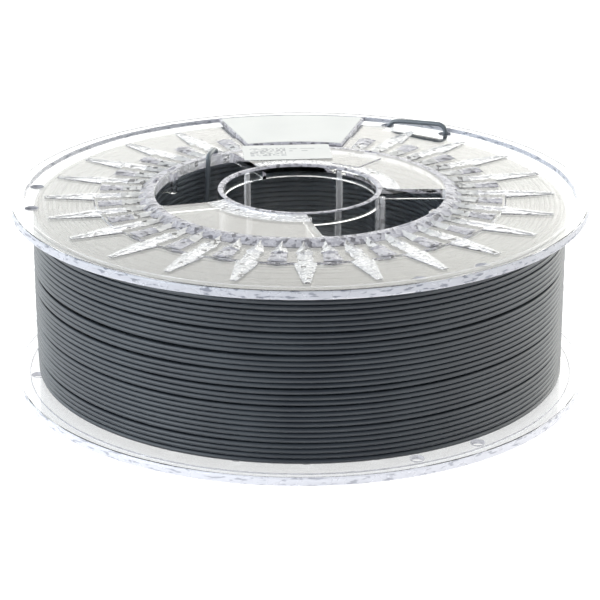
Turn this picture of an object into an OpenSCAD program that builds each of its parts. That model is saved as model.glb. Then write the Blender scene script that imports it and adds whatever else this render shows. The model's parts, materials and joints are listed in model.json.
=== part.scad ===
// Clear filament spool, full of 1.75 mm filament.
// The axis is +Z. z = 0 is the face of the lower rim, which the spool lies on.
// The spool is two clear mouldings: a body with the drum and the bore tube, and a
// top flange that plugs onto it. Both flanges carry a sunburst of cut crystals.

/* [Flanges] */
// Diameter of both flanges
flange_d = 200; // [194:1:210]
// Width over the two rims
spool_w = 66; // [56:1:80]
// Thickness of the rims, along the axis
rim_t = 3.1; // [2.8:0.1:3.6]
// Radial width of the raised rims
rim_w = 4.5; // [3:0.5:5]
// Depth of the flat panels below the rims
panel_recess = 1.5; // [1.2:0.1:1.7]
// Depth of the crystal ring below the rims
ring_recess = 1; // [0.7:0.1:1.1]
// Chamfer on the edges of the rims
rim_chamfer = 0.5; // [0.2:0.1:0.8]

/* [Hub] */
// Diameter of the bore that takes the spool holder
bore_d = 53; // [50:1:55]
// Wall of the bore tube
tube_wall = 2; // [1.6:0.1:2.4]
// Height of the top collar above the rim
collar_rise = 1.4; // [1.2:0.1:2]
// Lead-in at the top of the bore
bore_lead = 0.8; // [0.4:0.1:1]
// Height of the top hub above the rim
hub_rise = 0.5; // [0.3:0.1:0.7]
// Outside diameter of the drum that carries the winding
drum_d = 106; // [104:1:108]
// Wall of the drum
drum_wall = 2.5; // [2:0.1:3]
// Direction of the middle of the wide web
hub_turn = 60; // [50:1:70]
// Angle that the wide web covers
wide_web = 118; // [110:1:124]
// Angle that the narrow web covers
narrow_web = 77; // [70:1:84]
// Angle by which each edge of the narrow web turns inwards at the bore
web_flare = 4.5; // [2:0.5:6]
// Thickness of the webs between their ribs
web_t = 1.9; // [1.5:0.1:2.5]
// Width of the ribs along the edges of the webs
web_rib = 1.6; // [1.2:0.1:2]
// Radius of the outer corners of the hub windows
window_round = 2; // [1:0.5:4]

/* [Joint between the mouldings] */
// Number of ribs along the bore tube
tube_ribs = 5; // [3:1:8]
// Width of a tube rib
tube_rib_w = 2.2; // [1.8:0.1:2.8]
// Height of a tube rib
tube_rib_h = 1.4; // [1:0.1:1.8]
// Height of the tongue on top of each tube rib
tongue_h = 2.8; // [1.6:0.1:2.8]
// Number of snap hooks under the top flange
hooks = 4; // [3:1:6]
// Direction of the first snap hook
hook_turn = 64.5; // [58:0.5:66]
// Width of a snap hook
hook_w = 3.4; // [2.6:0.1:4]
// Length of a snap hook below the flange
hook_l = 4.6; // [4:0.1:6]
// Clearance between parts that plug together
fit_gap = 0.2; // [0.15:0.05:0.3]

/* [Sunburst] */
// Number of long crystals, with a short one after each
crystals = 24; // [18:1:26]
// Direction of the first long crystal
crystal_turn = 1.4; // [0:0.1:3]
// Radial width of the crystal ring
ring_w = 19.5; // [18:0.5:21]
// Width of the crystals at their first shoulder
shoulder_w = 5.8; // [5:0.1:6.2]
// Width of the long crystals at their belly
belly_w = 8; // [6.5:0.1:8.5]
// Height of the crystal ridges below the rims
crystal_sink = 0.15; // [0.1:0.05:0.3]

/* [Filament] */
// Diameter of the filament
filament_d = 1.75; // [1.7:0.05:1.9]
// Width of the flanges outside the winding
wound_margin = 7.7; // [7.6:0.1:12]
// Turns of the outer layer
loops = 24; // [18:1:24]
// Diameter of the holes for the filament's ends
end_hole_d = 4.8; // [4.6:0.1:5]
// Half the angle between the two holes of a pair
end_hole_half = 7.4; // [7:0.2:8]
// Direction of the first pair of holes
end_hole_turn = 61.4; // [60.6:0.2:62]
// Height of the filament's loop above the rim
loop_rise = 1.3; // [1.2:0.1:2]

/* [Labels] */
// Thickness of both paper labels
label_t = 0.15; // [0.1:0.05:0.2]
// Direction of the middle of the large label
label_turn = 92; // [91:1:94]
// Angle that the large label covers
label_angle = 33; // [30:1:34]
// Width of the small label
small_label_w = 32; // [28:1:34]
// Height of the small label
small_label_h = 18; // [16:1:19]

/* [Hidden] */
$fn = 96;

clear_plastic = [0.9, 0.92, 0.94, 0.35];
filament_grey = [0.2, 0.22, 0.24];
paper = [0.95, 0.95, 0.93];

// radii, from the bore outwards
flange_r = flange_d / 2;
rim_in = flange_r - rim_w;
bore_r = bore_d / 2;
tube_r = bore_r + tube_wall;
drum_r = drum_d / 2;
drum_in = drum_r - drum_wall;
ring_r = drum_r + ring_w;
wound_r = flange_r - wound_margin;

// heights
lower_face = rim_t;
upper_face = spool_w - rim_t;
overlap = 0.4;  // how far one form is sunk into the one it is fused with

// --- flat outlines ---

function polar(r, a) = [r * cos(a), r * sin(a)];

module ring(r_in, r_out) {
    difference() {
        circle(r = r_out);
        circle(r = r_in);
    }
}

// a wedge from the axis outwards, from angle a0 to a1, less than half a turn
module wedge(a0, a1) {
    reach = 2 * flange_r;
    polygon([[0, 0], polar(reach, a0), polar(reach, (a0 + a1) / 2), polar(reach, a1)]);
}

module sector(r_in, r_out, a0, a1) {
    intersection() {
        ring(r_in, r_out);
        wedge(a0, a1);
    }
}

// points along an arc round c, from direction a0 to a1
function arc(c, r, a0, a1, steps) =
    [for (i = [0 : steps]) c + polar(r, a0 + (a1 - a0) * i / steps)];

// --- hub: two webs and the windows between them ---

wide_from = hub_turn - wide_web / 2;
wide_to = hub_turn + wide_web / 2;
narrow_from = hub_turn + 180 - narrow_web / 2;
narrow_to = hub_turn + 180 + narrow_web / 2;

// the round outer corner of a window beside the web edge at angle a: the window lies on
// the side given by side = 1 or -1, and the arc starts on the web's edge
corner_r = drum_in - window_round;
corner_turn = asin(window_round / corner_r);
corner_stop = 14;  // the arc ends this much before it would run along the drum's wall
function window_corner(a, side) =
    arc(polar(corner_r, a + side * corner_turn), window_round,
        a - side * 90, a + side * (corner_turn - corner_stop), 8);

// Outline of the web from angle a0 to a1, narrower by the flare at the bore. Its inner
// and outer arcs lie inside the walls of the tube and the drum.
function web_outline(a0, a1, flare) = concat(
    arc([0, 0], tube_r - 0.5 * tube_wall, a0 + flare, a1 - flare, 12),
    window_corner(a1, 1),
    arc([0, 0], drum_r - 0.5 * drum_wall, a1 + corner_turn, a0 - corner_turn, 24),
    reversed(window_corner(a0, -1)));

function reversed(list) = [for (i = [len(list) - 1 : -1 : 0]) list[i]];

// outline of the hollow below a web, which leaves a rib along each edge
function hollow_outline(a0, a1, flare) =
    let (rib_in = asin(web_rib / tube_r), rib_out = asin(web_rib / drum_in))
        concat(arc([0, 0], bore_r, a0 + flare + rib_in, a1 - flare - rib_in, 12),
               arc([0, 0], drum_r, a1 - rib_out, a0 + rib_out, 24));

// a web with ribs along both edges, its outer face at the height rise, going down
module web(a0, a1, flare, rise) {
    difference() {
        translate([0, 0, -rim_t])
            linear_extrude(rim_t + rise)
                polygon(web_outline(a0, a1, flare));
        translate([0, 0, -rim_t - 1])
            linear_extrude(1 + rim_t - web_t + rise)
                polygon(hollow_outline(a0, a1, flare));
    }
}

module webs(rise) {
    web(wide_from, wide_to, 0, rise);
    web(narrow_from, narrow_to, web_flare, rise);
}

// gentle cone on the top webs, from the hub's face beside the small label up to the collar
fillet_r = drum_r - small_label_h - 0.2;
collar_round = 0.3;
module hub_fillet() {
    fillet_in = tube_r - 0.5 * tube_wall;
    intersection() {
        rotate_extrude()
            polygon([[fillet_in, 0], [fillet_r, 0], [fillet_r, hub_rise],
                     [tube_r, collar_rise - collar_round], [fillet_in, collar_rise - collar_round]]);
        linear_extrude(collar_rise) {
            polygon(web_outline(wide_from, wide_to, 0));
            polygon(web_outline(narrow_from, narrow_to, web_flare));
        }
    }
}

// a raised pad in the middle of the wide web
pad_angle = 18;
pad_rise = 0.3;
module hub_pad() {
    translate([0, 0, hub_rise - overlap])
        linear_extrude(overlap + pad_rise)
            sector(tube_r + 4, drum_in - 4, hub_turn - pad_angle / 2, hub_turn + pad_angle / 2);
}

// --- sunburst ---

// One crystal is lofted through stations of [radius, half width, level of the ridge,
// level of the surface it stands on]. Each section has upright sides that start inside
// the flange, and a roof that rises to a ridge, so each stretch shows two facets.
// Levels count down from the rim.
top = -crystal_sink;
on_ring = -ring_recess;
on_panel = -panel_recess;
base_z = -panel_recess - overlap;
girdle = 0.1;      // height of the upright sides above the surface
low_ridge = 0.3;   // height of a ridge's low places above the surface
shoulder_r = drum_r + 0.5 * ring_w;
waist_r = shoulder_r + 0.12 * ring_w;
neck_r = shoulder_r + 0.05 * ring_w;
belly_r = ring_r + 0.5;
tip_r = rim_in - 5.8;
point_r = drum_r + 0.6;
point_half = 0.4;
tip_half = 1.2;

long_crystal = [
    [point_r, point_half, on_ring + low_ridge, on_ring],
    [shoulder_r, shoulder_w / 2, top, on_ring],
    [waist_r, 0.75 * shoulder_w / 2, on_ring + low_ridge, on_ring],
    [belly_r, belly_w / 2, top, on_panel],
    [tip_r, tip_half, on_panel + low_ridge, on_panel]];

short_crystal = [
    [point_r, point_half, on_ring + low_ridge, on_ring],
    [shoulder_r, shoulder_w / 2, top, on_ring],
    [neck_r, 0.85 * shoulder_w / 2, on_ring + low_ridge, on_ring],
    [ring_r - 1, 1.1 * shoulder_w / 2, top - 0.2, on_ring]];

function station(s) = [
    [s[0], -s[1], base_z],
    [s[0], s[1], base_z],
    [s[0], s[1], s[3] + girdle],
    [s[0], 0, s[2]],
    [s[0], -s[1], s[3] + girdle]];

module crystal(stations) {
    n = len(stations);
    points = [for (s = stations) each station(s)];
    sides = [for (i = [0 : n - 2]) for (k = [0 : 4])
        let (a = 5 * i + k, b = 5 * i + (k + 1) % 5)
            each [[a, b + 5, b], [a, a + 5, b + 5]]];
    ends = [[0, 1, 2, 3, 4], [for (k = [1 : 5]) 5 * n - k]];
    polyhedron(points, concat(sides, ends));
}

// all crystals, leaving out those that the plinth of a label would cover
module sunburst(skip_from, skip_to) {
    pitch = 360 / crystals;
    for (i = [0 : crystals - 1]) {
        a = crystal_turn + i * pitch;
        b = a + pitch / 2;
        if (a < skip_from || a > skip_to) rotate(a) crystal(long_crystal);
        if (b < skip_from || b > skip_to) rotate(b) crystal(short_crystal);
    }
}

// --- the flange that both mouldings share: outer face at z = 0, going down ---

slot_l = 5.4;
slot_w = 1.4;
slot_turns = [0, 92, 108, -92, -108];  // from the middle of the wide web

// a slot with round ends across the line at angle a
module slot(r, a) {
    rotate(a)
        translate([r, 0]) {
            translate([-slot_w / 2, -(slot_l - slot_w) / 2])
                square([slot_w, slot_l - slot_w]);
            for (side = [-1, 1])
                translate([0, side * (slot_l - slot_w) / 2])
                    circle(d = slot_w, $fn = 24);
        }
}

end_hole_r = rim_in - end_hole_d / 2 - 0.3;
end_pairs = 3;
start_hole_a = wide_to + 5;  // the strand hangs in the window beside the wide web
start_hole_r = drum_r + 2;
start_hole_d = 3.4;

module flange_holes() {
    for (i = [0 : end_pairs - 1]) for (side = [-1, 1])
        rotate(end_hole_turn + i * 360 / end_pairs + side * end_hole_half)
            translate([end_hole_r, 0])
                circle(d = end_hole_d, $fn = 36);
    for (turn = slot_turns)
        slot(drum_r - drum_wall / 2, hub_turn + turn);
    rotate(start_hole_a)
        translate([start_hole_r, 0])
            circle(d = start_hole_d, $fn = 36);
}

// section of the disc from the drum to the rim, with a drum of height drum_h below it and
// the hub's face at the height rise
module disc_section(drum_h, rise) {
    c = rim_chamfer;
    drum_wall_section = drum_h > 0
        ? [[drum_in, -rim_t - drum_h], [drum_r, -rim_t - drum_h], [drum_r, -rim_t]]
        : [[drum_in, -rim_t]];
    polygon(concat(drum_wall_section, [
        [flange_r - c, -rim_t], [flange_r, -rim_t + c],
        [flange_r, -c], [flange_r - c, 0], [rim_in + c, 0],
        [rim_in, -panel_recess], [ring_r + panel_recess - ring_recess, -panel_recess],
        [ring_r, -ring_recess], [drum_r + ring_recess, -ring_recess],
        [drum_r, rise], [drum_in, rise]]));
}

module flange(skip_from, skip_to, drum_h, rise) {
    difference() {
        union() {
            rotate_extrude($fn = 180) disc_section(drum_h, rise);
            sunburst(skip_from, skip_to);
            webs(rise);
        }
        translate([0, 0, -rim_t - 1])
            linear_extrude(rim_t + 3)
                flange_holes();
    }
}

// --- top flange ---

label_from = label_turn - label_angle / 2;
label_to = label_turn + label_angle / 2;
plinth_sink = label_t + 0.05;
label_in = drum_r + 7;
label_edge = 0.5;  // bare edge of the plinth round the label

// smooth raised field that the large label sits on
module label_plinth() {
    translate([0, 0, -rim_t + overlap])
        linear_extrude(rim_t - overlap - plinth_sink)
            sector(label_in - label_edge, rim_in + overlap, label_from - 0.5, label_to + 0.5);
}

// collar round the bore, on top of the tube
module collar() {
    c = collar_round;
    rotate_extrude()
        polygon([
            [bore_r, -rim_t], [tube_r, -rim_t], [tube_r, collar_rise - c],
            [tube_r - c, collar_rise], [bore_r + bore_lead, collar_rise],
            [bore_r, collar_rise - bore_lead]]);
}

// cuts in the webs, beside the collar, for the tongues on top of the tube's ribs
module keyways() {
    keyway_w = tube_rib_w + 2 * fit_gap;
    for (i = [0 : tube_ribs - 1])
        rotate(hub_turn + i * 360 / tube_ribs)
            translate([tube_r - fit_gap, -keyway_w / 2, -rim_t - 1])
                cube([tube_rib_h + 2 * fit_gap, keyway_w, 1 + tongue_h + fit_gap]);
}

hook_t = 1.3;
barb = 0.6;
barb_h = 1.4;
barb_low = 0.2;  // end of the hook below its barb
hook_r = drum_in - fit_gap - hook_t;
hook_back = hook_r + hook_t;

// tapered hook that hangs inside the drum, with a barb for a pocket in the wall
module hook() {
    rotate([90, 0, 90])
        translate([0, 0, hook_r])
            linear_extrude(hook_t)
                polygon([[-hook_w / 2, 0], [hook_w / 2, 0],
                         [hook_w / 4, -rim_t - hook_l], [-hook_w / 4, -rim_t - hook_l]]);
    translate([hook_r, -hook_w / 2, -rim_t])
        cube([hook_t + fit_gap + overlap, hook_w, rim_t]);
    rotate([90, 0, 0])
        translate([0, 0, -hook_w / 4])
            linear_extrude(hook_w / 2)
                translate([hook_back, -rim_t - hook_l + barb_low])
                    polygon([[-overlap, 0], [0, 0], [barb, barb_h / 2], [barb, barb_h], [-overlap, barb_h]]);
}

module top_flange() {
    color(clear_plastic)
        translate([0, 0, spool_w])
            difference() {
                union() {
                    flange(label_from - 1.5, label_to + 1.5, 0, hub_rise);
                    label_plinth();
                    hub_fillet();
                    hub_pad();
                    collar();
                    for (i = [0 : hooks - 1])
                        rotate(hook_turn + i * 360 / hooks)
                            hook();
                }
                keyways();
            }
}

// --- body: lower flange, drum and bore tube ---

module hook_pockets() {
    pocket_w = hook_w / 2 + 2 * fit_gap;
    for (i = [0 : hooks - 1])
        rotate(hook_turn + i * 360 / hooks)
            translate([drum_in - 1, -pocket_w / 2, upper_face - hook_l + barb_low - fit_gap])
                cube([1 + barb + fit_gap, pocket_w, barb_h + 2 * fit_gap]);
}

module at_each_rib() {
    for (i = [0 : tube_ribs - 1])
        rotate(hub_turn + i * 360 / tube_ribs)
            translate([tube_r, 0])
                children();
}

module bore_tube() {
    inset = 0.2;  // the tongues are this much smaller than the ribs they stand on
    linear_extrude(upper_face) {
        ring(bore_r, tube_r);
        at_each_rib()
            translate([-overlap, -tube_rib_w / 2])
                square([tube_rib_h + overlap, tube_rib_w]);
    }
    translate([0, 0, upper_face - overlap])
        linear_extrude(tongue_h + overlap)
            at_each_rib()
                translate([inset, inset - tube_rib_w / 2])
                    square([tube_rib_h - 2 * inset, tube_rib_w - 2 * inset]);
}

module spool_body() {
    color(clear_plastic) {
        difference() {
            mirror([0, 0, 1])
                flange(-1, -1, upper_face - lower_face, 0);
            hook_pockets();
        }
        bore_tube();
    }
}

// --- sweeping a strand along a path ---

function unit(v) = v / norm(v);

function heading(p, i) =
    unit(p[min(i + 1, len(p) - 1)] - p[max(i - 1, 0)]);

// the sides of a section at point i, square to the path and turned from the vector up
function section(p, i, r, sides, up) =
    let (t = heading(p, i), n = unit(up - (up * t) * t), b = cross(t, n))
        [for (k = [0 : sides - 1])
            p[i] + r * (cos(k * 360 / sides) * n + sin(k * 360 / sides) * b)];

module strand(path, d, sides, up) {
    n = len(path);
    points = [for (i = [0 : n - 1]) each section(path, i, d / 2, sides, up)];
    walls = [for (i = [0 : n - 2]) for (k = [0 : sides - 1])
        let (a = i * sides + k, b = i * sides + (k + 1) % sides)
            each [[a, b + sides, b], [a, a + sides, b + sides]]];
    caps = [for (k = [1 : sides - 2])
        each [[0, k, k + 1], [(n - 1) * sides, (n - 1) * sides + k + 1, (n - 1) * sides + k]]];
    polyhedron(points, concat(walls, caps));
}

// --- the winding ---

rings_per_loop = 24;
layer_r = wound_r - filament_d / 2;  // middle of the strand in the outer layer
layer_low = lower_face + filament_d / 2 + 0.2;
layer_high = upper_face - filament_d / 2 - 0.2;
layer_pitch = (layer_high - layer_low) / loops;
// the straight chords between rings dip inwards, and the core stays clear of them
core_r = layer_r * cos(180 / rings_per_loop) - filament_d / 2 - 0.15;
core_in = drum_r + 0.15;

// the strand leaves the layer along a tangent that ends at the first end hole
rise_a = end_hole_turn + end_hole_half;
leave_a = rise_a + acos(layer_r / end_hole_r);
leave_way = [sin(leave_a), -cos(leave_a), 0];
layer_turns = [for (i = [0 : loops * rings_per_loop])
    let (a = leave_a + 360 * loops - i * 360 / rings_per_loop)
        [layer_r * cos(a), layer_r * sin(a), layer_low + i * layer_pitch / rings_per_loop]];
layer_first = layer_turns[0];
layer_last = layer_turns[len(layer_turns) - 1];
layer_path = concat([layer_first - filament_d * leave_way], layer_turns,
                    [layer_last + filament_d * leave_way]);

// least distance between the strand's sides, measured from each ring to those
// half a turn to one and a half turns further on
layer_gap = min([for (i = [0 : len(layer_path) - 1])
    for (j = [i + rings_per_loop / 2 : 1 : min(i + rings_per_loop * 3 / 2, len(layer_path) - 1)])
        norm(layer_path[i] - layer_path[j])]) - filament_d;
echo(least_gap_in_outer_layer_mm = layer_gap);

// ramp on which the strand climbs from the layer below to the start of the outer one
module climb() {
    ramp_l = 14;
    start = layer_first - filament_d * leave_way;
    translate([0, 0, lower_face])
        linear_extrude(filament_d + 0.4)
            translate([start[0], start[1]])
                rotate(leave_a)
                    polygon([[-wound_r + core_r - 2, 0], [filament_d / 2, 0],
                             [filament_d / 2 - 0.4, 0.3 * ramp_l],
                             [-wound_r + core_r - 2, ramp_l]]);
}

// Ridges that the turns make on the faces and in the bore of the core, one for two turns.
// Each list runs along its face, with flat tops where the core bears on the flanges.
groove = 0.4 * filament_d;
ridges = round((core_r - core_in) / (2 * filament_d));
ridge_w = (core_r - core_in) / ridges;
bore_ridges = round((upper_face - lower_face) / (2 * filament_d));
bore_ridge_w = (upper_face - lower_face) / bore_ridges;
core_top = [for (i = [1 : ridges - 1]) let (r = core_in + i * ridge_w) each [
    [r - 0.3 * ridge_w, upper_face], [r, upper_face - groove], [r + 0.3 * ridge_w, upper_face]]];
core_bore = [for (i = [1 : bore_ridges - 1]) let (z = lower_face + i * bore_ridge_w) each [
    [core_in, z - 0.3 * bore_ridge_w], [core_in + groove, z], [core_in, z + 0.3 * bore_ridge_w]]];

module core_section() {
    polygon(concat(
        [[core_in, upper_face]], core_top, [[core_r, upper_face], [core_r, lower_face]],
        reversed([for (p = core_top) [p[0], spool_w - p[1]]]), [[core_in, lower_face]], core_bore));
}

module filament_core() {
    color(filament_grey) {
        rotate_extrude($fn = 180) core_section();
        climb();
    }
}

module filament_outer_layer() {
    color(filament_grey)
        strand(layer_path, filament_d, 6, [0, 0, 1]);
}

// --- the two ends of the strand ---

// points between the given ones, on a curve through them all
function curve(p, steps) = concat([for (i = [0 : len(p) - 2]) for (s = [0 : steps - 1])
    let (a = p[max(i - 1, 0)], b = p[i], c = p[i + 1], d = p[min(i + 2, len(p) - 1)], t = s / steps)
        0.5 * (2 * b + t * (c - a) + t * t * (2 * a - 5 * b + 4 * c - d)
               + t * t * t * (3 * b - a - 3 * c + d))], [p[len(p) - 1]]);

function at(v, z) = [v[0], v[1], z];

hole_a = polar(end_hole_r, rise_a);
// in the second hole the strand stands clear of the winding
tail_r = max(end_hole_r, wound_r + filament_d / 2 + 0.3);
tail = polar(tail_r, end_hole_turn - end_hole_half);
across = unit(tail - hole_a);
span = norm(tail - hole_a);
flange_mid = spool_w - panel_recess - (rim_t - panel_recess) / 2;

// out of the layer, up through one hole, over the flange and down through the other,
// with steps counted in strand diameters
end_start = layer_last + filament_d * leave_way;
leave_xy = [leave_way[0], leave_way[1]];
level_run = norm(hole_a - [end_start[0], end_start[1]]) - 2.6 * filament_d;
loop_z = spool_w + loop_rise;
end_path = curve([
    end_start,
    end_start + 0.35 * level_run * leave_way,
    end_start + 0.7 * level_run * leave_way,
    at(hole_a - 2.6 * filament_d * leave_xy, layer_high),
    at(hole_a - 1.4 * filament_d * leave_xy, layer_high + 0.05 * filament_d),
    at(hole_a - 0.5 * filament_d * across, flange_mid - 0.6 * filament_d),
    at(hole_a, flange_mid),
    at(hole_a + 0.5 * filament_d * across, flange_mid + 0.6 * filament_d),
    at(hole_a + 1.4 * filament_d * across, spool_w + 0.05 * filament_d),
    at(hole_a + 2.9 * filament_d * across, loop_z - 0.35 * filament_d),
    at(hole_a + span / 2 * across, loop_z - 0.05 * filament_d),
    at(tail - 2.6 * filament_d * across, loop_z + 0.2 * filament_d),
    at(tail - 1.25 * filament_d * across, loop_z + 0.1 * filament_d),
    at(tail - 0.35 * filament_d * across, loop_z - 0.5 * filament_d),
    at(tail, flange_mid + 0.5 * filament_d),
    at(tail, flange_mid - 0.8 * filament_d),
    at(tail, upper_face - 2.3 * filament_d),
    at(tail, upper_face - 4.6 * filament_d)], 3);

module filament_end() {
    color(filament_grey)
        strand(end_path, filament_d, 8, cross([across[0], across[1], 0], [0, 0, 1]));
}

// inner end: up through the flange, over the edge of the drum and down inside it, where
// it leans away from the hole
start_hole = polar(start_hole_r, start_hole_a);
hang_a = start_hole_a + 9;
hang_lean = 4;
hang_gap = 0.4;  // clearance between the hanging strand and the drum
hang_r = drum_in - filament_d / 2 - hang_gap;
hang = polar(hang_r, hang_a);
inward = unit(hang - start_hole);
reach = norm(hang - start_hole);
over_z = spool_w + hub_rise + filament_d / 2 + 0.15;
start_path = curve([
    at(start_hole, upper_face),
    at(start_hole, upper_face + filament_d),
    at(start_hole, over_z - 0.7 * filament_d),
    at(start_hole + 0.7 * filament_d * inward, over_z),
    at(start_hole + reach / 2 * inward, over_z + 0.15 * filament_d),
    at(hang - 0.85 * filament_d * inward, over_z),
    at(hang - 0.15 * filament_d * inward, over_z - 0.55 * filament_d),
    at(hang, over_z - 1.5 * filament_d),
    at(polar(hang_r, hang_a + 0.25 * hang_lean), over_z - 4 * filament_d),
    at(polar(hang_r, hang_a + 0.6 * hang_lean), over_z - 7.5 * filament_d),
    at(polar(hang_r, hang_a + hang_lean), over_z - 11 * filament_d)], 3);

module filament_start() {
    color(filament_grey)
        strand(start_path, filament_d, 8, cross([inward[0], inward[1], 0], [0, 0, 1]));
}

// --- labels ---

module large_label() {
    color(paper)
        translate([0, 0, spool_w - plinth_sink])
            linear_extrude(label_t)
                sector(label_in, rim_in - label_edge, label_from, label_to);
}

small_label_x = -4.8;
small_label_tilt = 4.5;
module small_label() {
    color(paper)
        translate([small_label_x, drum_r + 0.3 - small_label_h / 2, spool_w + hub_rise])
            rotate(small_label_tilt)
                linear_extrude(label_t)
                    square([small_label_w, small_label_h], center = true);
}

top_flange();
spool_body();
filament_core();
filament_outer_layer();
filament_end();
filament_start();
large_label();
small_label();
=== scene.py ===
import bmesh
import bpy
import json
import math
from mathutils import Matrix, Vector


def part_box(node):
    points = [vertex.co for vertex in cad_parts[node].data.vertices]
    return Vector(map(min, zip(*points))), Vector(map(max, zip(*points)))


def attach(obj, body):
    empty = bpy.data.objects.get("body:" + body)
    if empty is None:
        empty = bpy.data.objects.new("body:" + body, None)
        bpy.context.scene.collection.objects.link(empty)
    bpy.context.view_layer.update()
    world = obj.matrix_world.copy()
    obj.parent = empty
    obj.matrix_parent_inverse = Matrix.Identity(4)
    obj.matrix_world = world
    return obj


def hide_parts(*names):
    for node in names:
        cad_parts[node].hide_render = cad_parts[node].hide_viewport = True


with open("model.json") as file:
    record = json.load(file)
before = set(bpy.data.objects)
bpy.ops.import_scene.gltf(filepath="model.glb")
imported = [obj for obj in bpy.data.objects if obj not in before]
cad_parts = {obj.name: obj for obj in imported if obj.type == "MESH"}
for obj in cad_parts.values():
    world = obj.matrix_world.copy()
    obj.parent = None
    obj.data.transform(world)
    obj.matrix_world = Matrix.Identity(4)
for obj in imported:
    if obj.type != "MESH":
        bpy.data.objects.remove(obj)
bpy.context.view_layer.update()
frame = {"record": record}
mm = 0.001
print("frame loaded")

# sizes shared by the pieces, from the frame and a few named values

boreMount = next(m for m in frame["record"]["mounts"] if m["name"] == "bore")
coreLow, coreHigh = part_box("filament_core")
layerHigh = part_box("filament_outer_layer")[1]
hubLabelLow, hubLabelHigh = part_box("small_label")

spool = {
    "flangeR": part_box("spool_body")[1].y,
    "boreR": boreMount["dims"]["r_mm"] * mm,
    "width": coreHigh.z + coreLow.z,          # over the two rims
    "hubTop": hubLabelLow.z,                  # face of the top hub
    "collarTop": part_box("top_flange")[1].z,
    "upperFace": coreHigh.z,                  # inner faces of the flanges
    "lowerFace": coreLow.z,
    "woundR": layerHigh.x + 0.3 * mm,         # the solid's loops lie a little deeper
    "drumR": 53 * mm,
    "drumWall": 2.5 * mm,
    "tubeWall": 2 * mm,
    "hubTurn": 60,                            # middle of the wide web, degrees
    "jointGap": 0.05 * mm,                    # air between the body and the top flange
}
flangeThickness = spool["width"] - spool["upperFace"]
hubRise = spool["hubTop"] - spool["width"]
drumIn = spool["drumR"] - spool["drumWall"]
tubeR = spool["boreR"] + spool["tubeWall"]
cutOver = 1 * mm          # how far cutters and hidden overlaps reach past a face


def newObject(name, data):
    obj = bpy.data.objects.new(name, data)
    bpy.context.scene.collection.objects.link(obj)
    return obj


def polar(r, degrees, z=0.0):
    a = math.radians(degrees)
    return Vector((r * math.cos(a), r * math.sin(a), z))


def arcPoints(centre, r, a0, a1, steps):
    return [centre + polar(r, a0 + (a1 - a0) * i / steps) for i in range(steps + 1)]


def sector(inner, outer, a0, a1, steps):
    return arcPoints(Vector(), inner, a0, a1, steps) + arcPoints(Vector(), outer, a1, a0, steps)


def turned(degrees):
    return Matrix.Rotation(math.radians(degrees), 4, "Z")


# camera, lights and floor

cameraSettings = {
    "distance": 819.9 * mm,
    "elevation": 20.59,
    "aimZ": 25.63 * mm,
    "focalPixels": 2322.4,
    "framePixels": 600,
}


def makeCamera(s):
    camera = newObject("camera", bpy.data.cameras.new("camera"))
    camera.data.sensor_width = 36
    camera.data.lens = s["focalPixels"] / s["framePixels"] * camera.data.sensor_width
    camera.data.clip_start = 0.01
    camera.data.clip_end = 20
    e = math.radians(s["elevation"])
    back = Vector((0, -math.cos(e), math.sin(e)))
    camera.location = Vector((0, 0, s["aimZ"])) + s["distance"] * back
    camera.rotation_mode = "QUATERNION"
    camera.rotation_quaternion = (-back).to_track_quat("-Z", "Y")
    bpy.context.scene.camera = camera


studio = {
    # light by direction, from the back round by the left, front and right to the back
    "around": [(0.0, (0.82, 0.81, 0.775)), (0.12, (0.82, 0.88, 0.90)), (0.25, (1.15, 1.25, 1.33)),
               (0.34, (1.75, 1.9, 2.03)), (0.41, (0.85, 0.93, 1.0)), (0.48, (0.1, 0.1, 0.11)),
               (0.57, (0.14, 0.14, 0.15)), (0.66, (0.6, 0.62, 0.62)), (0.72, (1.1, 1.13, 1.1)),
               (0.8, (1.3, 1.32, 1.28)), (0.88, (1.5, 1.5, 1.42)), (0.95, (1.05, 1.05, 1.0)),
               (1.0, (0.82, 0.81, 0.775))],
    # light by height, as the sine of the elevation
    "upwards": [(0.0, 1.0), (0.28, 1.0), (0.34, 0.77), (0.45, 0.5), (0.64, 0.37), (1.0, 0.37)],
    "strength": 2.8,
    "floorSize": 6.0,
    "floorDrop": 0.05 * mm,
    "floorColor": (0.5, 0.5, 0.5, 1),
    "floorRoughness": 0.9,
    "floorSpecular": 0.1,
    "floorGlow": 0.85,
}


def setSockets(tree, node, values):
    # a value is a constant, or the output that the socket takes
    for name, value in values.items():
        if isinstance(value, bpy.types.NodeSocket):
            tree.links.new(value, node.inputs[name])
        else:
            node.inputs[name].default_value = value


def addNode(tree, kind, values):
    node = tree.nodes.new(kind)
    setSockets(tree, node, values)
    return node


def ramp(tree, factor, stops):
    node = addNode(tree, "ShaderNodeValToRGB", {"Fac": factor})
    elements = node.color_ramp.elements
    while len(elements) < len(stops):
        elements.new(0.5)
    for element, (position, value) in zip(elements, stops):
        element.position = position
        color = value[:3] if isinstance(value, tuple) else (value,) * 3
        element.color = (*color, 1)
    return node.outputs["Color"]


def mathNode(tree, operation, *values):
    node = tree.nodes.new("ShaderNodeMath")
    node.operation = operation
    for socket, value in zip(node.inputs, values):
        if isinstance(value, (int, float)):
            socket.default_value = value
        else:
            tree.links.new(value, socket)
    return node.outputs["Value"]


def splitVector(tree, vector):
    xyz = addNode(tree, "ShaderNodeSeparateXYZ", {"Vector": vector})
    return xyz.outputs["X"], xyz.outputs["Y"], xyz.outputs["Z"]


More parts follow.
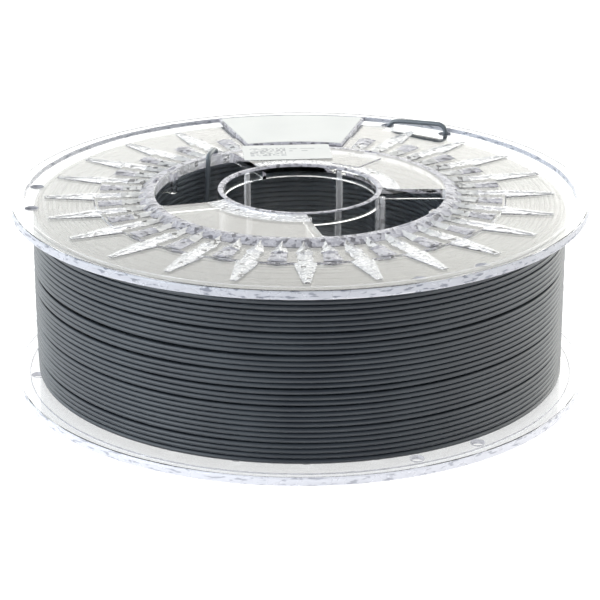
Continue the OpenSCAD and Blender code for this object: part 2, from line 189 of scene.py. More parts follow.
def makeStudio(s):
    world = bpy.data.worlds.new("studio")
    bpy.context.scene.world = world
    world.use_nodes = True
    tree = world.node_tree
    tree.nodes.clear()
    coords = tree.nodes.new("ShaderNodeTexCoord")
    x, y, z = splitVector(tree, coords.outputs["Generated"])
    turn = mathNode(tree, "ARCTAN2", x, mathNode(tree, "MULTIPLY", y, -1))
    share = mathNode(tree, "MULTIPLY_ADD", turn, 1 / (2 * math.pi), 0.5)
    light = tree.nodes.new("ShaderNodeMix")
    light.data_type, light.blend_type = "RGBA", "MULTIPLY"
    setSockets(tree, light, {"Factor": 1, "A": ramp(tree, share, s["around"]),
                             "B": ramp(tree, z, s["upwards"])})
    surround = addNode(tree, "ShaderNodeBackground",
                       {"Strength": s["strength"], "Color": light.outputs["Result"]})
    addNode(tree, "ShaderNodeOutputWorld", {"Surface": surround.outputs["Background"]})

    bm = bmesh.new()
    bmesh.ops.create_grid(bm, x_segments=2, y_segments=2, size=s["floorSize"])
    bmesh.ops.translate(bm, vec=(0, 0, -s["floorDrop"]), verts=bm.verts)
    mesh = bpy.data.meshes.new("floor")
    bm.to_mesh(mesh)
    bm.free()
    floor = newObject("floor", mesh)
    material = bpy.data.materials.new("floorPaper")
    material.use_nodes = True
    setSockets(material.node_tree, material.node_tree.nodes["Principled BSDF"],
               {"Base Color": s["floorColor"], "Roughness": s["floorRoughness"],
                "Specular IOR Level": s["floorSpecular"], "Emission Color": (1, 1, 1, 1),
                "Emission Strength": s["floorGlow"]})
    mesh.materials.append(material)

    view = bpy.context.scene.view_settings
    view.view_transform = "Standard"
    view.look = "None"


makeCamera(cameraSettings)
makeStudio(studio)
print("camera and studio made")

# materials


variationSettings = {
    "inputs": {"Scale": 100, "Low": 0, "High": 1, "Bump": 0.1, "Bump Scale": 500},
    "detail": 3,
    "span": (0.3, 0.7),       # the part of the noise that is used
    "bumpDepth": 0.1 * mm,
}


def makeVariationGroup(s):
    # soft mottling between two values, and a fine bump, on Object coordinates
    group = bpy.data.node_groups.new("softVariation", "ShaderNodeTree")
    face = group.interface
    for name, value in s["inputs"].items():
        socket = face.new_socket(name, in_out="INPUT", socket_type="NodeSocketFloat")
        socket.default_value = value
    face.new_socket("Value", in_out="OUTPUT", socket_type="NodeSocketFloat")
    face.new_socket("Normal", in_out="OUTPUT", socket_type="NodeSocketVector")
    given = group.nodes.new("NodeGroupInput").outputs
    place = group.nodes.new("ShaderNodeTexCoord").outputs["Object"]
    mottle = addNode(group, "ShaderNodeTexNoise",
                     {"Detail": s["detail"], "Vector": place, "Scale": given["Scale"]})
    span = addNode(group, "ShaderNodeMapRange",
                   {"From Min": s["span"][0], "From Max": s["span"][1], "To Min": given["Low"],
                    "To Max": given["High"], "Value": mottle.outputs["Fac"]})
    fine = addNode(group, "ShaderNodeTexNoise", {"Vector": place, "Scale": given["Bump Scale"]})
    bump = addNode(group, "ShaderNodeBump", {"Distance": s["bumpDepth"],
                                             "Strength": given["Bump"],
                                             "Height": fine.outputs["Fac"]})
    addNode(group, "NodeGroupOutput",
            {"Value": span.outputs["Result"], "Normal": bump.outputs["Normal"]})
    return group


variationGroup = makeVariationGroup(variationSettings)


def newMaterial(name, variation):
    material = bpy.data.materials.new(name)
    material.use_nodes = True
    tree = material.node_tree
    effect = tree.nodes.new("ShaderNodeGroup")
    effect.node_tree = variationGroup
    shader = tree.nodes["Principled BSDF"]
    setSockets(tree, effect, variation)
    setSockets(tree, shader, {"Normal": effect.outputs["Normal"]})
    return material, tree, shader, effect


clearSettings = {
    "color": (0.985, 0.99, 0.99, 1),
    "ior": 1.58,
    "variation": {"Scale": 60, "Low": 0.0, "High": 0.05, "Bump": 0.03, "Bump Scale": 90},
}


def makeClearPlastic(s):
    material, tree, shader, effect = newMaterial("clearPlastic", s["variation"])
    setSockets(tree, shader, {"Base Color": s["color"], "Roughness": effect.outputs["Value"],
                              "IOR": s["ior"], "Transmission Weight": 1})
    return material


cutSettings = {
    "depth": 0.5 * mm,
    "glowSpan": (0.1, 0.6),   # the part of the cells' random values that the painted glow follows
    "speckTone": 0.2,         # brightness of a dark cut
    "speckFade": 0.02,
}
facetSettings = {
    "color": (0.93, 0.93, 0.96, 1),
    "ior": 1.58,
    "transmission": 0.72,
    "specular": 0.5,
    "glow": (0.05, 0.10),     # painted glow, an emission standing in for light that the moulding carries to its cut faces
    "cutScale": 650,
    "cutStrength": 0.45,
    "specks": 0.03,           # share of the cuts that look dark
    "variation": {"Scale": 90, "Low": 0.02, "High": 0.12, "Bump": 0.05, "Bump Scale": 300},
}
glintSettings = {
    **facetSettings,
    "color": (0.6, 0.6, 0.59, 1),
    "transmission": 0.55,
    # painted glow on the heads of the crystals, stronger than on the long crystals
    "glow": (0.05, 0.20),
    "specks": 0.12,
}
frostSettings = {
    "color": (0.17, 0.17, 0.19, 1),
    "ior": 1.58,
    "transmission": 0.45,
    "specular": 0.25,
    # painted glow, an emission standing in for light carried through the moulding to these faces
    "glow": ((0.06, 0.06, 0.075), (0.28, 0.28, 0.31)),
    "cutScale": 700,
    "cutStrength": 0.9,
    "specks": 0.15,
    "variation": {"Scale": 120, "Low": 0.15, "High": 0.4, "Bump": 0.05, "Bump Scale": 300},
}


def makeCutPlastic(name, s):
    # small pyramids over faces that catch the light, with a painted glow that changes from cell to
    # cell
    material, tree, shader, effect = newMaterial(name, s["variation"])
    coords = tree.nodes.new("ShaderNodeTexCoord")
    cuts = tree.nodes.new("ShaderNodeTexVoronoi")
    cuts.distance = "CHEBYCHEV"
    setSockets(tree, cuts, {"Scale": s["cutScale"], "Vector": coords.outputs["Object"]})
    bump = addNode(tree, "ShaderNodeBump",
                   {"Strength": s["cutStrength"], "Distance": cutSettings["depth"],
                    "Height": cuts.outputs["Distance"], "Normal": effect.outputs["Normal"]})
    channels = addNode(tree, "ShaderNodeSeparateColor", {"Color": cuts.outputs["Color"]})
    speck = tuple(cutSettings["speckTone"] * c for c in s["color"])
    tones = [(s["specks"], speck), (s["specks"] + cutSettings["speckFade"], s["color"])]
    glow = list(zip(cutSettings["glowSpan"], s["glow"]))
    setSockets(tree, shader, {"Base Color": ramp(tree, channels.outputs["Green"], tones),
                              "Roughness": effect.outputs["Value"],
                              "Normal": bump.outputs["Normal"],
                              "IOR": s["ior"],
                              "Transmission Weight": s["transmission"],
                              "Specular IOR Level": s["specular"],
                              # painted glow, following each cell's random colour
                              "Emission Color": ramp(tree, cuts.outputs["Color"], glow),
                              "Emission Strength": 1})
    return material


edgeSettings = {
    "color": (0.6, 0.6, 0.65, 1),
    "dash": (0.25, 0.26, 0.31, 1),
    "glow": (0.17, 0.17, 0.175, 1),      # painted glow on the lower flange, standing in for light from the floor
    "ior": 1.58,
    "transmission": 0.3,
    "dashes": (150, 900),       # scale of the dashes round the axis and along it
    "dashFrom": 0.56,
    "dashTo": 0.64,
    "dashDetail": 2,
    "variation": {"Scale": 120, "Low": 0.15, "High": 0.4, "Bump": 0.05, "Bump Scale": 300},
}


def makeClearEdge(s):
    # walls that scatter light in the moulding, with darker dashes round the axis and a painted glow
    # on the lower flange's walls
    material, tree, shader, effect = newMaterial("clearPlasticEdge", s["variation"])
    coords = tree.nodes.new("ShaderNodeTexCoord")
    x, y, z = splitVector(tree, coords.outputs["Object"])
    turn = mathNode(tree, "ARCTAN2", y, x)
    place = addNode(tree, "ShaderNodeCombineXYZ",
                    {"X": mathNode(tree, "MULTIPLY", turn, s["dashes"][0] / (2 * math.pi)),
                     "Y": mathNode(tree, "MULTIPLY", z, s["dashes"][1])})
    noise = addNode(tree, "ShaderNodeTexNoise", {"Scale": 1, "Detail": s["dashDetail"],
                                                 "Vector": place.outputs["Vector"]})
    tones = [(s["dashFrom"], s["color"]), (s["dashTo"], s["dash"])]
    # mask of the lower flange, the only place that gets the painted glow
    low = mathNode(tree, "LESS_THAN", z, spool["width"] / 2)
    setSockets(tree, shader, {"Base Color": ramp(tree, noise.outputs["Fac"], tones),
                              "Roughness": effect.outputs["Value"],
                              "IOR": s["ior"],
                              "Transmission Weight": s["transmission"],
                              "Emission Color": ramp(tree, low, [(0, 0), (1, s["glow"])]),
                              "Emission Strength": 1})
    return material


filamentSettings = {
    "dark": (0.015, 0.019, 0.026, 1),
    "light": (0.027, 0.033, 0.041, 1),
    "roughness": 0.33,
    "specular": 0.6,
    "variation": {"Scale": 45, "Low": 0, "High": 1, "Bump": 0.25, "Bump Scale": 1400},
}
paintedLightFilamentSettings = {
    **filamentSettings,
    "dark": (0.16, 0.18, 0.21, 1),       # painted light: lighter tones for the turns that light reaches through the drum
    "light": (0.25, 0.28, 0.32, 1),
}
paintedLightLooseFilamentSettings = {
    **filamentSettings,
    # painted light: the loose ends are made lighter, as if lit from above
    "dark": (0.10, 0.115, 0.13, 1),
    "light": (0.14, 0.158, 0.175, 1),
}


def makeFilament(name, s):
    material, tree, shader, effect = newMaterial(name, s["variation"])
    tones = ramp(tree, effect.outputs["Value"], [(0, s["dark"]), (1, s["light"])])
    setSockets(tree, shader, {"Base Color": tones, "Roughness": s["roughness"],
                              "Specular IOR Level": s["specular"]})
    return material


paperSettings = {
    "color": (0.585, 0.585, 0.57, 1),
    "variation": {"Scale": 80, "Low": 0.3, "High": 0.42, "Bump": 0.1, "Bump Scale": 900},
}


def makePaper(s):
    material, tree, shader, effect = newMaterial("paper", s["variation"])
    setSockets(tree, shader, {"Base Color": s["color"], "Roughness": effect.outputs["Value"]})
    return material


printSettings = {
    "ink": (0.30, 0.30, 0.31, 1),
    "place": ((-4.8 * mm, 44.3 * mm), 4.5),      # centre and tilt of the small label
    # printed fields: centre, size, cell of the random pattern, share that is inked
    "fields": [((-6.9 * mm, 0.4 * mm), (13 * mm, 9.6 * mm), (0.75 * mm, 0.75 * mm), 0.5),
               ((7.2 * mm, 3.9 * mm), (12 * mm, 0.9 * mm), (1.3 * mm, 0.9 * mm), 0.45),
               ((5.5 * mm, 1.3 * mm), (9 * mm, 0.9 * mm), (1.1 * mm, 0.9 * mm), 0.45)],
}


def makePrintedPaper(paperLook, s):
    # rows of random cells stand for generic print
    material, tree, shader, effect = newMaterial("printedPaper", paperLook["variation"])
    coords = tree.nodes.new("ShaderNodeTexCoord")
    toLabel = tree.nodes.new("ShaderNodeMapping")
    toLabel.vector_type = "TEXTURE"
    middle, tilt = s["place"]
    setSockets(tree, toLabel, {"Location": (*middle, 0), "Rotation": (0, 0, math.radians(tilt)),
                               "Vector": coords.outputs["Object"]})
    x, y, _ = splitVector(tree, toLabel.outputs["Vector"])
    inked = 0
    for centre, size, cell, share in s["fields"]:
        insideX = mathNode(tree, "COMPARE", x, centre[0], size[0] / 2)
        insideY = mathNode(tree, "COMPARE", y, centre[1], size[1] / 2)
        step = addNode(tree, "ShaderNodeCombineXYZ", {"X": mathNode(tree, "SNAP", x, cell[0]),
                                                      "Y": mathNode(tree, "SNAP", y, cell[1])})
        pick = addNode(tree, "ShaderNodeTexWhiteNoise", {"Vector": step.outputs["Vector"]})
        dark = mathNode(tree, "LESS_THAN", pick.outputs["Value"], share)
        field = mathNode(tree, "MULTIPLY", mathNode(tree, "MULTIPLY", insideX, insideY), dark)
        inked = mathNode(tree, "MAXIMUM", inked, field)
    tones = ramp(tree, inked, [(0, paperLook["color"]), (1, s["ink"])])
    setSockets(tree, shader, {"Base Color": tones, "Roughness": effect.outputs["Value"]})
    return material


clearPlastic = makeClearPlastic(clearSettings)
clearFacet = makeCutPlastic("clearPlasticFacet", facetSettings)
clearFrost = makeCutPlastic("clearPlasticFrost", frostSettings)
clearGlint = makeCutPlastic("clearPlasticGlint", glintSettings)
clearEdge = makeClearEdge(edgeSettings)
filament = makeFilament("filament", filamentSettings)
paintedLightFilament = makeFilament("filamentPaintedLight", paintedLightFilamentSettings)
paintedLightLooseFilament = makeFilament("filamentLoosePaintedLight", paintedLightLooseFilamentSettings)
paper = makePaper(paperSettings)
printedPaper = makePrintedPaper(paperSettings, printSettings)
print("materials made")

# making pieces

# materials of the clear mouldings: plain faces, long crystals, rims and holes, short crystals
# and the hub's step, heads of the crystals
mouldingMaterials = (clearPlastic, clearFacet, clearEdge, clearFrost, clearGlint)
plain, facet, edge, frost, glint = range(5)
shading = {
    "mergeDistance": 0.002 * mm,
    "sharpAngle": 12,         # edges sharper than this stay sharp, degrees
    "sharpCut": 1.5,          # the same on the cut faces
}


def toObject(bm, name):
    bmesh.ops.recalc_face_normals(bm, faces=bm.faces)
    mesh = bpy.data.meshes.new(name)
    bm.to_mesh(mesh)
    bm.free()
    return newObject(name, mesh)


def bake(obj):
    # the shape after its modifiers becomes the object's own mesh
    shape = obj.evaluated_get(bpy.context.evaluated_depsgraph_get())
    mesh = bpy.data.meshes.new_from_object(shape)
    obj.modifiers.clear()
    obj.data = mesh


def combine(obj, tool, operation):
    join = obj.modifiers.new("combine", "BOOLEAN")
    join.operation = operation
    join.solver = "MANIFOLD"
    join.object = tool
    bake(obj)
    bpy.data.objects.remove(tool)
    for polygon in obj.data.polygons:       # what comes from a plain tool is plain
        if polygon.material_index >= len(mouldingMaterials):
            polygon.material_index = plain


def finishPiece(obj, materials, nodes, sharpAngle=shading["sharpAngle"]):
    # faces name their material by its place in the list
    bm = bmesh.new()
    bm.from_mesh(obj.data)
    bmesh.ops.remove_doubles(bm, verts=bm.verts, dist=shading["mergeDistance"])
    bmesh.ops.dissolve_degenerate(bm, edges=bm.edges, dist=shading["mergeDistance"])
    for f in bm.faces:
        f.smooth = True
    for e in bm.edges:
        cut = materials is mouldingMaterials and any(
            f.material_index in (facet, glint) for f in e.link_faces)
        sharp = shading["sharpCut"] if cut else sharpAngle
        e.smooth = len(e.link_faces) == 2 and e.calc_face_angle(0) < math.radians(sharp)
    obj.data.materials.clear()
    for m in materials:
        obj.data.materials.append(m)
    bm.to_mesh(obj.data)
    bm.free()
    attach(obj, "root")
    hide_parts(*nodes)
    print(obj.name, len(obj.data.polygons), "faces")


def markIndex(obj, index):
    for polygon in obj.data.polygons:
        polygon.material_index = index


wallLooks = {
    "tubeMargin": 1 * mm,     # nothing is marked this close to the bore tube
    "hubOver": 0.01 * mm,
    "hubDepth": 0.05 * mm,    # faces this close under the hub's top belong to it
    "hubSlack": 0.3 * mm,
    "stepFrom": 0.5 * mm,     # the frosted step starts this far outside the drum's inside
    "drumFace": 1 * mm,       # the drum's cut inside reaches this far inwards
    "rimSlack": 0.5 * mm,
    # a face is a wall below these heights of its normal
    "innerFlat": 0.95,
    "rimFlat": 0.85,
    "holeFlat": 0.3,
}


def wallMaterial(w, r, z, flat, hubTop):
    # None where a face keeps the material that it has
    drumR, rimIn = spool["drumR"], spool["flangeR"] - flange["rimWidth"]
    if z > hubTop - w["hubDepth"] and drumIn - w["hubSlack"] < r < drumR + w["hubSlack"]:
        return frost
    if r < drumR + flange["stepRun"] and flat < w["innerFlat"]:
        if r > drumIn + w["stepFrom"]:
            return frost
        return facet if r > drumIn - w["drumFace"] else plain
    if flat < (w["rimFlat"] if r > rimIn - w["rimSlack"] else w["holeFlat"]):
        return edge
    return None


def markWalls(obj, low, hubTop):
    # walls of a flange, outside the bore tube; the frost, facet and edge materials that they get
    # carry a painted glow
    w = wallLooks
    for polygon in obj.data.polygons:
        c = polygon.center
        r = math.hypot(c.x, c.y)
        if (polygon.material_index in (facet, glint, frost) or r < tubeR + w["tubeMargin"]
                or not low < c.z < hubTop + w["hubOver"]):
            continue
        index = wallMaterial(w, r, c.z, abs(polygon.normal.z), hubTop)
        if index is not None:
            polygon.material_index = index


def spinProfile(bm, points, rounding=(), steps=192):
    # points are (r, z); rounding is (index of a point, radius)
    verts = [bm.verts.new((r, 0, z)) for r, z in points]
    bm.faces.new(verts)
    for index, radius in rounding:
        bmesh.ops.bevel(bm, geom=[verts[index]], offset=radius, offset_type="OFFSET",
                        segments=3, profile=0.5, affect="VERTICES", material=-1)
    bmesh.ops.delete(bm, geom=list(bm.faces), context="FACES_ONLY")
    bmesh.ops.spin(bm, geom=list(bm.verts) + list(bm.edges), cent=(0, 0, 0), axis=(0, 0, 1),
                   angle=2 * math.pi, steps=steps, use_merge=True)


def addBox(bm, size, centre, place):
    verts = bmesh.ops.create_cube(bm, size=1)["verts"]
    bmesh.ops.scale(bm, vec=size, verts=verts)
    bmesh.ops.translate(bm, vec=centre, verts=verts)
    bmesh.ops.transform(bm, matrix=place, verts=verts)


def turnsAround(count, first):
    return [turned(first + i * 360 / count) for i in range(count)]


def extrudeFace(bm, points, way):
    face = bm.faces.new([bm.verts.new(p) for p in points])
    made = bmesh.ops.extrude_face_region(bm, geom=[face])
    verts = [g for g in made["geom"] if isinstance(g, bmesh.types.BMVert)]
    bmesh.ops.translate(bm, vec=way, verts=verts)


def extrudeOutline(bm, points, low, high):
    extrudeFace(bm, [(p.x, p.y, low) for p in points], (0, 0, high - low))


# the two clear mouldings
# Both flanges are made with the outer face at z = 0, going down, then put in place.

flange = {
    "rimWidth": 4.5 * mm,
    "panelRecess": 1.5 * mm,
    "ringRecess": 1.0 * mm,
    "ringR": 71 * mm,
    "ringFall": 0.4 * mm,     # width of the fall from the ring to the panel
    "stepRun": 3 * mm,        # the ring falls from the hub over this width
    "rimRound": 0.7 * mm,
    "smallRound": 0.25 * mm,
}
hub = {
    "wideWeb": 118,
    "narrowWeb": 77,
    "webFlare": 4.5,
    "webThickness": 1.9 * mm,
    "webRib": 1.6 * mm,
    "windowRound": 2 * mm,
    "cornerStop": 14,         # degrees that a window's round corner stops short
    "filletR": 34.8 * mm,
    "filletLip": 0.3 * mm,    # the fillet ends this far below the collar's top
    "filletSteps": 6,
    "filletPower": 1.5,
    "boreLead": 0.8 * mm,
    "collarRound": 0.3 * mm,
    "padAngle": 18,
    "padRise": 0.3 * mm,
    "padMargin": 4 * mm,
}
plinth = {
    "start": 6.5 * mm,        # outside the drum
    "underRim": 0.4 * mm,
    "top": -0.2 * mm,
    "floor": 0.4 * mm,        # over the flange's inner face
    "sideMargin": 0.5,        # degrees past the label
    "crystalMargin": 1.5,     # degrees to the next crystal
}
sunburst = {
    "count": 24,
    "turn": 1.4,
    "start": 0.2 * mm,        # outside the drum
    "shoulder": 8.9 * mm,
    "sink": 0.15 * mm,
    "girdle": 0.1 * mm,
    "root": 0.4 * mm,         # depth in the panel
    "headDrop": 0.25 * mm,
    "pointHalf": 0.6 * mm,
    "shoulderHalf": 2.9 * mm,
    # after the shoulder: run to the low point of the ridge, and the width there as a share
    "longLow": (2.4 * mm, 0.75),
    "shortLow": (1 * mm, 0.85),
    "lowRidge": 0.3 * mm,
    "bellyHalf": 3.8 * mm,
    "bellyRidge": 0.35 * mm,
    "bellySide": 0.2 * mm,
    "tipInset": 7 * mm,       # from the rim
    "tipHalf": 1.2 * mm,
    "tipRidge": 0.22 * mm,
    "shortInset": 1 * mm,     # from the ring's edge
    "shortEnd": 1.1,          # width there as a share of the shoulder's
    "shortDrop": 0.2 * mm,
}
joints = {
    "gap": 0.2 * mm,
    "ribs": 5,
    "ribWidth": 2.2 * mm,
    "ribHeight": 1.4 * mm,
    "ribSink": 0.2 * mm,      # into the tube
    "ribShort": 0.02 * mm,    # a rib ends this far inside the tube's ends
    "tongueHeight": 2.8 * mm,
    "tongueInset": 0.2 * mm,
    "tongueRoot": 0.4 * mm,   # into the rib
    "hooks": 4,
    "hookTurn": 64.5,
    "hookWidth": 3.4 * mm,
    "hookLength": 4.6 * mm,
    "hookThickness": 1.3 * mm,
    "hookRoot": 1 * mm,       # into the disc
    "rootShort": 0.05 * mm,
    "rootLift": 0.02 * mm,
}
holes = {
    "pairs": 3,
    "endR": 92.8 * mm,
    "tailR": 93.5 * mm,
    "endD": 4.8 * mm,
    "endTurn": 61.4,
    "endHalf": 7.4,
    "startR": spool["drumR"] + 2 * mm,
    "startD": 3.4 * mm,
    "startTurn": 124,
    "slotLength": 5.4 * mm,
    "slotWidth": 1.4 * mm,
    "slotTurns": (0, 92, 108, -92, -108),
}
labelTurn, labelHalf = 92, 16.5     # direction and half the width of the large label, degrees
labelArc = (labelTurn - labelHalf, labelTurn + labelHalf)


def discProfile(drumHeight, rise):
    t, f = flangeThickness, flange
    rimIn = spool["flangeR"] - f["rimWidth"]
    wall = [(drumIn, -t)]
    if drumHeight:
        wall = [(drumIn, -t - drumHeight), (spool["drumR"], -t - drumHeight), (spool["drumR"], -t)]
    rim = [(spool["flangeR"], -t), (spool["flangeR"], 0), (rimIn, 0), (rimIn, -f["panelRecess"])]
    inner = [(f["ringR"] + f["ringFall"], -f["panelRecess"]), (f["ringR"], -f["ringRecess"]),
             (spool["drumR"] + f["stepRun"], -f["ringRecess"]), (spool["drumR"], rise),
             (drumIn, rise)]
    # places in rim + inner: the outer corners, the rim's inside, the hub's corners
    rounding = [(len(wall) + i, f["rimRound"]) for i in (0, 1)]
    rounding += [(len(wall) + i, f["smallRound"]) for i in (2, 3, 7, 8)]
    return wall + rim + inner, rounding


def webOutline(a0, a1, flare):
    centreR = drumIn - hub["windowRound"]
    turn = math.degrees(math.asin(hub["windowRound"] / centreR))
    inTube = tubeR - 0.5 * spool["tubeWall"]
    inDrum = spool["drumR"] - 0.5 * spool["drumWall"]

    def corner(a, side):
        return arcPoints(polar(centreR, a + side * turn), hub["windowRound"],
                         a - side * 90, a + side * (turn - hub["cornerStop"]), 10)

    return (arcPoints(Vector(), inTube, a0 + flare, a1 - flare, 24) + corner(a1, 1)
            + arcPoints(Vector(), inDrum, a1 + turn, a0 - turn, 48) + corner(a0, -1)[::-1])


def webRanges():
    for middle, width, flare in ((spool["hubTurn"], hub["wideWeb"], 0),
                                 (spool["hubTurn"] + 180, hub["narrowWeb"], hub["webFlare"])):
        yield middle - width / 2, middle + width / 2, flare


def makeWebs(rise):
    webs = []
    for a0, a1, flare in webRanges():
        bm = bmesh.new()
        extrudeOutline(bm, webOutline(a0, a1, flare), -flangeThickness, rise)
        web = toObject(bm, "web")
        ribIn = math.degrees(math.asin(hub["webRib"] / tubeR)) + flare
        ribOut = math.degrees(math.asin(hub["webRib"] / drumIn))
        bm = bmesh.new()
        extrudeOutline(bm, arcPoints(Vector(), spool["boreR"], a0 + ribIn, a1 - ribIn, 24)
                       + arcPoints(Vector(), drumIn, a1 - ribOut, a0 + ribOut, 48),
                       -2 * flangeThickness, rise - hub["webThickness"])
        combine(web, toObject(bm, "pocket"), "DIFFERENCE")
        webs.append(web)
    return webs


def crystalStations(long, rise):
    # each is the radius, half the width, the ridge's height and the surface beside it
    s, top = sunburst, -sunburst["sink"]
    ring, panel = -flange["ringRecess"], -flange["panelRecess"]
    shoulderR = spool["drumR"] + s["shoulder"]
    first = [(spool["drumR"] + s["start"], s["pointHalf"], rise - s["headDrop"], ring),
             (shoulderR, s["shoulderHalf"], top, ring)]
    run, share = s["longLow"] if long else s["shortLow"]
    first.append((shoulderR + run, share * s["shoulderHalf"], ring + s["lowRidge"], ring))
    if long:
        return first + [(flange["ringR"], s["bellyHalf"],
                         ring + s["bellyRidge"], panel + s["bellySide"]),
                        (spool["flangeR"] - flange["rimWidth"] - s["tipInset"], s["tipHalf"],
                         panel + s["tipRidge"], panel)]
    return first + [(flange["ringR"] - s["shortInset"], s["shortEnd"] * s["shoulderHalf"],
                     top - s["shortDrop"], ring)]


def addCrystal(bm, stations, turn, body):
    base = -flange["panelRecess"] - sunburst["root"]
    spinTo = turned(turn)
    loops = []
    for r, half, ridge, surface in stations:
        g = surface + sunburst["girdle"]
        section = [(-half, base), (half, base), (half, g), (0, ridge), (-half, g)]
        verts = [bm.verts.new(spinTo @ Vector((r, y, z))) for y, z in section]
        loops.append([bm.edges.new((verts[i], verts[(i + 1) % 5])) for i in range(5)])
    for a, b in zip(loops, loops[1:]):
        made = bmesh.ops.bridge_loops(bm, edges=a + b)
        for f in made["faces"]:
            f.material_index = glint if a is loops[0] else body
    for end in (loops[0], loops[-1]):
        for f in bmesh.ops.contextual_create(bm, geom=end)["faces"]:
            f.material_index = body


def makeSunburst(skip, rise):
    bm = bmesh.new()
    pitch = 360 / sunburst["count"]
    for i in range(sunburst["count"]):
        for shape, turn in ((True, sunburst["turn"] + i * pitch),
                            (False, sunburst["turn"] + (i + 0.5) * pitch)):
            if not skip or turn < skip[0] or turn > skip[1]:
                addCrystal(bm, crystalStations(shape, rise), turn, facet if shape else frost)
    return toObject(bm, "crystals")


def addRoundCutter(bm, centre, diameter, low, high, segments=32):
    made = bmesh.ops.create_cone(bm, cap_ends=True, segments=segments, radius1=diameter / 2,
                                 radius2=diameter / 2, depth=high - low)
    bmesh.ops.translate(bm, vec=centre + Vector((0, 0, (low + high) / 2)), verts=made["verts"])


def makeHoleCutters():
    low, high = -flangeThickness - cutOver, 2 * cutOver
    bm = bmesh.new()
    for i in range(holes["pairs"]):
        for side in (-1, 1):
            turn = holes["endTurn"] + i * 360 / holes["pairs"] + side * holes["endHalf"]
            addRoundCutter(bm, polar(holes["endR"], turn), holes["endD"], low, high)
    addRoundCutter(bm, polar(holes["startR"], holes["startTurn"]), holes["startD"], low, high)
    half = holes["slotWidth"] / 2
    run = holes["slotLength"] / 2 - half
    outline = (arcPoints(Vector((0, run, 0)), half, 0, 180, 8)
               + arcPoints(Vector((0, -run, 0)), half, 180, 360, 8))
    outwards = Matrix.Translation(((drumIn + spool["drumR"]) / 2, 0, 0))
    for turn in holes["slotTurns"]:
        place = turned(spool["hubTurn"] + turn) @ outwards
        extrudeOutline(bm, [place @ p for p in outline], low, high)
    return toObject(bm, "cutters")


def makeFlange(name, skip, drumHeight, rise):
    bm = bmesh.new()
    points, rounding = discProfile(drumHeight, rise)
    spinProfile(bm, points, rounding)
    disc = toObject(bm, name)
    for m in mouldingMaterials:
        disc.data.materials.append(m)
    for web in makeWebs(rise):
        combine(disc, web, "UNION")
    combine(disc, makeSunburst(skip, rise), "UNION")
    combine(disc, makeHoleCutters(), "DIFFERENCE")
    return disc


def addCollar(top, rise):
    t = flangeThickness
    bm = bmesh.new()
    spinProfile(bm, [(spool["boreR"], -t), (tubeR, -t), (tubeR, rise), (spool["boreR"], rise)],
                [(2, hub["collarRound"]), (3, hub["boreLead"])])
    collar = toObject(bm, "collar")
    for polygon in collar.data.polygons:
        if polygon.center.z > rise - hub["boreLead"]:
            polygon.material_index = frost
    combine(top, collar, "UNION")


def addFillet(top, rise):
    # gentle fillet on the webs, up to the collar
    bm = bmesh.new()
    inner = tubeR - 0.5 * spool["tubeWall"]
    lip = rise - hub["filletLip"]
    steps, power = hub["filletSteps"], hub["filletPower"]
    curve = [(hub["filletR"] + (tubeR - hub["filletR"]) * i / steps,
              hubRise + (lip - hubRise) * (i / steps) ** power) for i in range(steps + 1)]
    spinProfile(bm, [(inner, 0), (hub["filletR"], 0)] + curve + [(inner, lip)])
    cone = toObject(bm, "cone")
    bm = bmesh.new()
    for a0, a1, flare in webRanges():
        extrudeOutline(bm, webOutline(a0, a1, flare), -cutOver, 3 * cutOver)
    combine(cone, toObject(bm, "webSpace"), "INTERSECT")
    markIndex(cone, facet)
    combine(top, cone, "UNION")


def addPlinth(top, p):
    # smooth raised field under the large label
    bm = bmesh.new()
    plinthIn = spool["drumR"] + p["start"]
    plinthOut = spool["flangeR"] - flange["rimWidth"] + p["underRim"]
    a0, a1 = labelArc[0] - p["sideMargin"], labelArc[1] + p["sideMargin"]
    extrudeOutline(bm, sector(plinthIn, plinthOut, a0, a1, 24),
                   -flangeThickness + p["floor"], p["top"])
    field = toObject(bm, "plinth")
    markIndex(field, frost)
    combine(top, field, "UNION")


def addPad(top):
    # raised pad in the wide web
    bm = bmesh.new()
    a0 = spool["hubTurn"] - hub["padAngle"] / 2
    a1 = spool["hubTurn"] + hub["padAngle"] / 2
    outline = sector(tubeR + hub["padMargin"], drumIn - hub["padMargin"], a0, a1, 12)
    extrudeOutline(bm, outline, 0, hubRise + hub["padRise"])
    combine(top, toObject(bm, "pad"), "UNION")


def addHooks(top, j):
    t = flangeThickness
    back = drumIn - j["gap"]
    front = back - j["hookThickness"]
    w, low = j["hookWidth"], -t - j["hookLength"]
    outline = [(-w / 2, 0), (w / 2, 0), (w / 4, low), (-w / 4, low)]
    bm = bmesh.new()
    for place in turnsAround(j["hooks"], j["hookTurn"]):
        extrudeFace(bm, [place @ Vector((front, y, z)) for y, z in outline],
                    place @ Vector((back - front, 0, 0)))
    combine(top, toObject(bm, "hookPlates"), "UNION")
    bm = bmesh.new()       # what ties the hooks to the disc
    size = (j["hookThickness"] + j["hookRoot"], w, t - j["rootShort"])
    centre = ((front + back + j["hookRoot"]) / 2, 0, -t / 2 + j["rootLift"])
    for place in turnsAround(j["hooks"], j["hookTurn"]):
        addBox(bm, size, centre, place)
    combine(top, toObject(bm, "hookRoots"), "UNION")


def cutKeyways(top, j):
    # slots for the tongues on the tube's ribs
    depth = cutOver + j["tongueHeight"] + j["gap"]
    size = (j["ribHeight"] + 2 * j["gap"], j["ribWidth"] + 2 * j["gap"], depth)
    centre = (tubeR + j["ribHeight"] / 2, 0, -flangeThickness - cutOver + depth / 2)
    bm = bmesh.new()
    for place in turnsAround(j["ribs"], spool["hubTurn"]):
        addBox(bm, size, centre, place)
    combine(top, toObject(bm, "keyways"), "DIFFERENCE")


